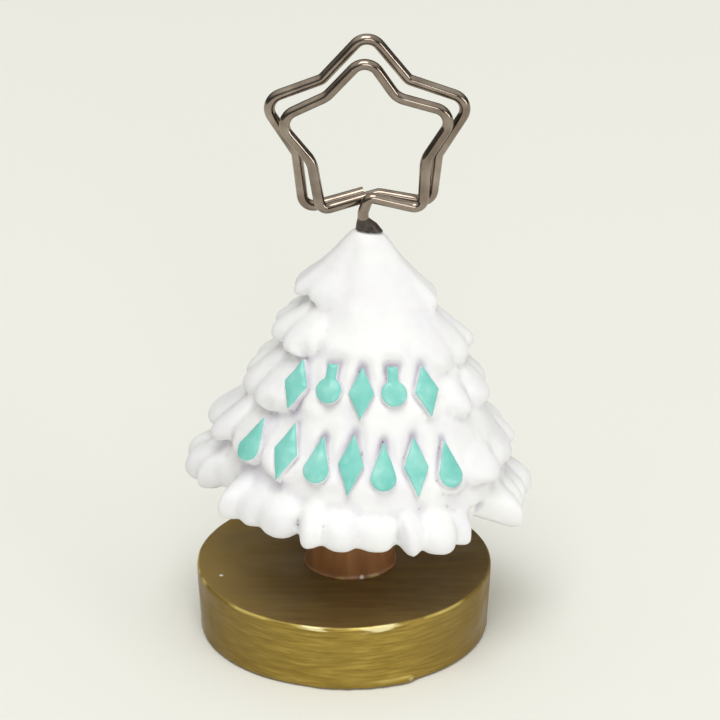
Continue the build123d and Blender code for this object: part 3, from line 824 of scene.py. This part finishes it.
def makeTrunk():
    s = trunkSettings
    section = [(0, s["foot"]), (s["radius"] + s["flare"], s["foot"])]
    for step in range(s["flareSteps"] + 1):  # the flare runs in by a hollow curve
        a = math.pi / 2 * step / s["flareSteps"]
        height = s["foot"] + s["flareFoot"] + s["flareHeight"] * (1 - math.cos(a))
        section.append((s["radius"] + s["flare"] * (1 - math.sin(a)), height))
    section += [(s["radius"], z) for z in np.linspace(s["plainFrom"], s["top"], s["rings"])] + [(0, s["top"])]

    def shift(angle, reach, height):
        turns, rise = s["waves"]
        way = Vector((math.sin(angle) * turns, math.cos(angle) * turns, height * rise))
        return reach - s["waver"] * (s["waverMean"] + s["waverMean"] * noise.noise(way)), height

    piece = turn("paintedTrunk", section, s["segments"], shift, s["offset"])
    piece.data.materials.append(trunkPaint)
    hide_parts("trunk")
    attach(piece, "stand")


makeFoot()
makeTrunk()
print("foot and trunk made")

# Clip: each loop follows its own corners, bent to the bender's radii
wireSettings = {
    "radius": 0.86, "pitch": 2.2, "stemX": 3.029, "starX": 3.629, "crownZ": 67.930, "starZ": 82.830,
    "reach": 17.1, "shank": 18.0, "stemRise": 3.0, "stemBend": 1.3, "elbowShift": 0.24, "elbowDrop": 9.36,
    "elbowBend": 1.0, "crossingDrop": 10.2, "hump": 1.7, "tail": (-0.75, 1.8, 0.02),
    "sides": 28, "step": 0.3, "bendSteps": 12,
    # bending tables: share of the reach, degrees to the right of straight up, radius of the bend
    "frontStar": [
        (0.835, 143, 1.4), (0.555, 110, 4.0), (0.835, 72.5, 2.4), (0.485, 33, 3.4), (0.805, -0.3, 2.4),
        (0.55, -41, 3.4), (0.835, -76.5, 2.4), (0.535, -113, 4.5), (0.795, -148.5, 1.4)],
    "backStar": [
        (0.875, 138.5, 1.9), (0.66, 106.5, 1.5), (0.995, 71, 2.4), (0.645, 35, 1.5), (0.987, 0.3, 2.4),
        (0.665, -37, 1.5), (0.993, -71, 2.4), (0.652, -105.5, 1.5), (0.912, -141.5, 1.9)],
}


def makeWireNodes():
    s = wireSettings
    group, given = newNodes("bentWire", [
        ("Geometry", "Geometry"), ("Wire Radius", "Float"), ("Step", "Float"), ("Sides", "Int"),
        ("Plate", "Material")])
    bend = addNode(group, "GeometryNodeInputNamedAttribute", {"Name": "bend"}, data_type="FLOAT")
    line = addNode(group, "GeometryNodeMeshToCurve", {0: given["Geometry"]})
    rounded = addNode(group, "GeometryNodeFilletCurve", {
        "Curve": line, "Radius": bend, "Count": s["bendSteps"]}, mode="POLY")
    even = addNode(group, "GeometryNodeResampleCurve", {
        "Curve": rounded, "Length": given["Step"]}, mode="LENGTH")
    length = addNode(group, "GeometryNodeSplineParameter").outputs["Length"]
    along = addNode(group, "GeometryNodeStoreNamedAttribute", {
        "Geometry": even, "Name": "along", "Value": length}, data_type="FLOAT", domain="POINT")
    ring = addNode(group, "GeometryNodeCurvePrimitiveCircle", {
        "Resolution": given["Sides"], "Radius": given["Wire Radius"]})
    turnShare = addNode(group, "GeometryNodeSplineParameter").outputs["Factor"]
    marked = addNode(group, "GeometryNodeStoreNamedAttribute", {
        "Geometry": ring, "Name": "around", "Value": turnShare}, data_type="FLOAT", domain="POINT")
    tube = addNode(group, "GeometryNodeCurveToMesh", {
        "Curve": along, "Profile Curve": marked, "Fill Caps": True})
    # wireMap: millimetres along the wire, then the way round it, for the die lines
    alongHere = addNode(group, "GeometryNodeInputNamedAttribute", {"Name": "along"}, data_type="FLOAT")
    aroundHere = addNode(group, "GeometryNodeInputNamedAttribute", {"Name": "around"}, data_type="FLOAT")
    turnAngle = addNode(group, "ShaderNodeMath", {0: aroundHere, 1: 2 * math.pi}, operation="MULTIPLY")
    cosine = addNode(group, "ShaderNodeMath", {0: turnAngle}, operation="COSINE")
    sine = addNode(group, "ShaderNodeMath", {0: turnAngle}, operation="SINE")
    alongMm = addNode(group, "ShaderNodeMath", {0: alongHere, 1: 1 / mm}, operation="MULTIPLY")
    wireMap = addNode(group, "ShaderNodeCombineXYZ", {0: alongMm, 1: cosine, 2: sine})
    mapped = addNode(group, "GeometryNodeStoreNamedAttribute", {
        "Geometry": tube, "Name": "wireMap", "Value": wireMap}, data_type="FLOAT_VECTOR", domain="POINT")
    smooth = addNode(group, "GeometryNodeSetShadeSmooth", {0: mapped})
    whole = addNode(group, "GeometryNodeRealizeInstances", {0: smooth})
    plated = addNode(group, "GeometryNodeSetMaterial", {"Geometry": whole, "Material": given["Plate"]})
    addNode(group, "NodeGroupOutput", {0: plated})
    return group


def starCorners(table, depth):
    s = wireSettings
    corners = []
    for share, turned, bend in table:
        angle = math.radians(turned)
        corners.append(Vector((s["starX"] + share * s["reach"] * math.sin(angle), depth,
                               s["starZ"] + share * s["reach"] * math.cos(angle))))
    return corners, [bend for share, turned, bend in table]


def bendWire(name, group, corners, bends, node, body):
    s = wireSettings
    mesh = bpy.data.meshes.new(name)
    mesh.from_pydata([c * mm for c in corners], [(k, k + 1) for k in range(len(corners) - 1)], [])
    mesh.attributes.new("bend", "FLOAT", "POINT").data.foreach_set("value", [b * mm for b in bends])
    piece = addPiece(name, mesh)
    setInputs(piece, group, {
        "Wire Radius": s["radius"] * mm, "Step": s["step"] * mm, "Sides": s["sides"], "Plate": nickelPlate})
    keepResult(piece)
    bpy.data.meshes.remove(mesh)
    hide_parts(node)
    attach(piece, body)


def makeClip():
    s = wireSettings
    group = makeWireNodes()
    front, frontBends = starCorners(s["frontStar"], 0)
    back, backBends = starCorners(s["backStar"], s["pitch"])
    middle = s["starX"] + s["elbowShift"]
    crossing = Vector((middle, s["pitch"], s["starZ"] - s["crossingDrop"]))  # where the two loops part
    hump = crossing + (crossing - front[-1]).normalized() * s["hump"]
    stem = [Vector((s["stemX"], 0, s["crownZ"] - s["shank"])),
            Vector((s["stemX"], 0, s["crownZ"] + s["stemRise"])),
            Vector((middle, 0, s["starZ"] - s["elbowDrop"]))]
    stemBends = [0, s["stemBend"], s["elbowBend"]]
    bendWire("clipFrontStar", group, stem + front + [crossing], stemBends + frontBends + [0],
             "clip_front", "stand")
    bendWire("clipBackStar", group, [crossing, hump] + back + [crossing + Vector(s["tail"])],
             [0, s["stemBend"]] + backBends + [0], "clip_back", "back_loop")


makeClip()
print("clip made")

# Ornaments: the casting's own edges are soft, and the faces stand up like little cushions
ornamentSettings = {
    "voxel": 0.16, "soften": 4, "crown": 0.42, "crownRun": 0.85, "waver": 0.07, "waverSize": 1.6,
    # which part counts as the face, and how far the paint goes round its edge
    "faceDepth": 0.8, "faceTurn": 0.5, "paintFrom": 0.55, "paintRun": 0.4,
}


def makeOrnaments(name, node):
    s = ornamentSettings
    piece = meltNode(name, node, s["voxel"], s["soften"])
    data = piece.data
    points = readPoints(data)
    normals = np.array([v.normal for v in data.vertices])
    shown = np.zeros(len(points))
    faces = ornamentFaces(node)
    owner = np.argmin([np.linalg.norm(points - origin, axis=1) for origin, *rest in faces], axis=0)
    for k, (origin, frameAxes, triangles, edges) in enumerate(faces):
        own = np.where(owner == k)[0]
        local = (points[own] - origin) @ frameAxes.T
        towards = normals[own] @ frameAxes[2]
        depth = np.where(insideFace(local[:, :2], triangles), edgeDistance(local[:, :2], edges), 0)
        front = (towards > s["faceTurn"]) & (local[:, 2] > -s["faceDepth"] * mm)
        cushion = np.where(front, s["crown"] * mm * (1 - np.exp(-depth / (s["crownRun"] * mm))), 0)
        points[own] += cushion[:, None] * frameAxes[2]
        shown[own] = np.where(front, np.clip((towards - s["paintFrom"]) / s["paintRun"], 0, 1), 0)
    waver = np.array([noise.noise(Vector(p) / (s["waverSize"] * mm)) for p in points])
    points += normals * (waver * s["waver"] * mm)[:, None]
    data.vertices.foreach_set("co", points.ravel())
    data.attributes.new("face", "FLOAT", "POINT").data.foreach_set("value", shown)
    data.polygons.foreach_set("use_smooth", [True] * len(data.polygons))
    data.materials.append(turquoisePaint)
    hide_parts(node)
    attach(piece, "stand")
    print(name, len(faces), "faces painted")


makeOrnaments("upperOrnaments", "ornaments_upper")
makeOrnaments("lowerOrnaments", "ornaments_lower")

# Bead of glue: a lump with a soft skin, narrower at the top and sagging to the right
glueSettings = {
    "voxel": 0.16, "soften": 4, "lump": 0.14, "lumpSize": 1.4, "taper": 0.2, "settle": 0.12, "drift": 0.22,
    "sink": 0.3,
}


def makeGlue():
    s = glueSettings
    piece = meltNode("glueBead", "glue_collar", s["voxel"], s["soften"])
    low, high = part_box("glue_collar")
    middle = wireSettings["stemX"] * mm
    for vertex in piece.data.vertices:
        swell = noise.noise(vertex.co / (s["lumpSize"] * mm)) - s["sink"]
        vertex.co += vertex.normal * s["lump"] * mm * swell
        share = (vertex.co.z - low[2]) / (high[2] - low[2])
        aside = (vertex.co.x - middle) * (1 - s["taper"] * share)
        vertex.co.x = middle + aside + s["drift"] * mm * (1 - share)
        vertex.co.y *= 1 - s["taper"] * share
        vertex.co.z -= s["settle"] * share * (high[2] - low[2])
    piece.data.polygons.foreach_set("use_smooth", [True] * len(piece.data.polygons))
    piece.data.materials.append(darkGlue)
    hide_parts("glue_collar")
    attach(piece, "stand")


makeGlue()
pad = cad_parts["felt_pad"]
pad.data.materials.clear()
pad.data.materials.append(felt)
print("glue and felt made")

# Studio: pale floor under a soft dome, a key from above, a weak front lamp and a strip at the side
studioSettings = {
    "floor": "#F5F5EE", "floorHalf": 3, "floorRoughness": 0.9, "surround": "#F0F0EA", "overhead": 0.74,
    "horizon": 0.27, "horizonRise": 0.08, "mirrorHorizon": 0.14, "aim": (0, 0, 0.04),
}
lampSettings = [
    {"name": "key", "place": (-0.2, -1.1, 3.0), "size": (1.8, 1.8), "roll": 0, "power": 44.0},
    {"name": "front", "place": (0.3, -3.0, 1.0), "size": (1.1, 1.1), "roll": 0, "power": 13.0},
    # a long slanted strip, which draws the bright lines along the wire
    {"name": "side", "place": (2.15, -1.5, 0.52), "size": (1.6, 0.45), "roll": -26, "power": 12.0},
]
cameraSettings = {
    "place": (0.002558, -0.58844, 0.31783), "tilt": 65.2, "lens": 207.67, "sensor": 36, "clipEnd": 20,
}


def makeFloor():
    s = studioSettings
    half = s["floorHalf"]
    mesh = bpy.data.meshes.new("floor")
    corners = [(-half, -half, 0), (half, -half, 0), (half, half, 0), (-half, half, 0)]
    mesh.from_pydata(corners, [], [(0, 1, 2, 3)])
    floor = addPiece("floor", mesh)
    paper, tree = newMaterial("matPaper")[:2]  # matt uncoated paper: even and pale, without shine
    plug(tree, tree.nodes["Principled BSDF"], {
        "Base Color": colour(s["floor"]), "Roughness": s["floorRoughness"]})
    floor.data.materials.append(paper)


def makeSurround():
    s = studioSettings
    world = bpy.data.worlds.new("surround")
    bpy.context.scene.world = world
    world.use_nodes = True
    nodes = world.node_tree
    # soft box overhead, dimmer towards the horizon; the camera sees one even tone, and metal the brighter box
    way = addNode(nodes, "ShaderNodeSeparateXYZ", {
        0: addNode(nodes, "ShaderNodeTexCoord").outputs["Generated"]})
    dome = addNode(nodes, "ShaderNodeValToRGB", {0: way.outputs["Z"]}, stops=[
        (0.0, s["horizon"]), (0.75, 1.0), (0.3, s["horizon"] + s["horizonRise"])])
    room = addNode(nodes, "ShaderNodeValToRGB", {0: way.outputs["Z"]}, stops=[
        (0.12, s["mirrorHorizon"]), (0.7, 1.0), (0.34, s["mirrorHorizon"])])
    seen = addNode(nodes, "ShaderNodeLightPath").outputs
    mirrored = addNode(nodes, "ShaderNodeMath", {
        0: seen["Is Glossy Ray"], 1: seen["Is Transmission Ray"]}, operation="MAXIMUM")
    lit = addNode(nodes, "ShaderNodeMath", {0: dome, 1: s["overhead"]}, operation="MULTIPLY")
    soft = addNode(nodes, "ShaderNodeMix", {0: mirrored, 2: lit, 3: room})
    strength = addNode(nodes, "ShaderNodeMix", {0: seen["Is Camera Ray"], 2: soft, 3: 1.0})
    plug(nodes, nodes.nodes["Background"], {"Color": colour(s["surround"]), "Strength": strength})


def makeLamps():
    for values in lampSettings:
        lamp = bpy.data.lights.new(values["name"], "AREA")
        lamp.shape = "RECTANGLE"
        lamp.size, lamp.size_y = values["size"]
        lamp.energy = values["power"]
        light = bpy.data.objects.new(values["name"], lamp)
        light.location = values["place"]
        aim = (Vector(studioSettings["aim"]) - light.location).to_track_quat("-Z", "Y")
        light.rotation_euler = (aim @ Quaternion((0, 0, 1), math.radians(values["roll"]))).to_euler()
        bpy.context.scene.collection.objects.link(light)


def makeCamera():
    s = cameraSettings
    lens = bpy.data.cameras.new("camera")
    lens.lens = s["lens"]
    lens.sensor_width = s["sensor"]
    lens.clip_end = s["clipEnd"]
    camera = bpy.data.objects.new("camera", lens)
    camera.location = s["place"]
    camera.rotation_euler = (math.radians(s["tilt"]), 0, 0)
    bpy.context.scene.collection.objects.link(camera)
    bpy.context.scene.camera = camera


makeFloor()
makeSurround()
makeLamps()
makeCamera()
bpy.context.scene.view_settings.view_transform = "Standard"
print("studio ready")
